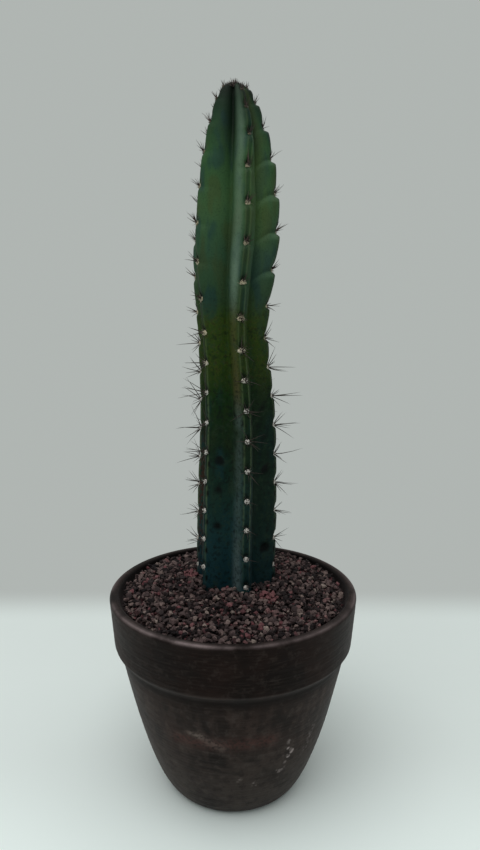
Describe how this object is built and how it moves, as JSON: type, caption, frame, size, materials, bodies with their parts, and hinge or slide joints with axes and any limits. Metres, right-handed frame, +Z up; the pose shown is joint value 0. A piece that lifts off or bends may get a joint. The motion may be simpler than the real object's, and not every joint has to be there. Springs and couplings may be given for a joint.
{
  "type": "potted columnar cactus",
  "caption": "Ribbed columnar cactus with spiny areoles, standing in a round clay pot topped with crushed lava.",
  "frame": {"origin": "centre of the pot's foot, on the surface that it stands on", "axes": "+Z up along the pot's axis and the stem; -Y is the front, where the picture was taken from"},
  "size_m": [0.2, 0.2, 0.5599],
  "materials": {
    "pot": "unglazed dark brown clay, satin, dusty towards the foot",
    "soil": "dark peaty potting mix, matte",
    "lava": "crushed reddish-brown lava, matte",
    "cactus": "waxy blue-green skin, satin"
  },
  "bodies": {
    "root": {"pot": "pot", "soil": "soil", "lava": "lava", "cactus": "cactus"}
  },
  "joints": []
}
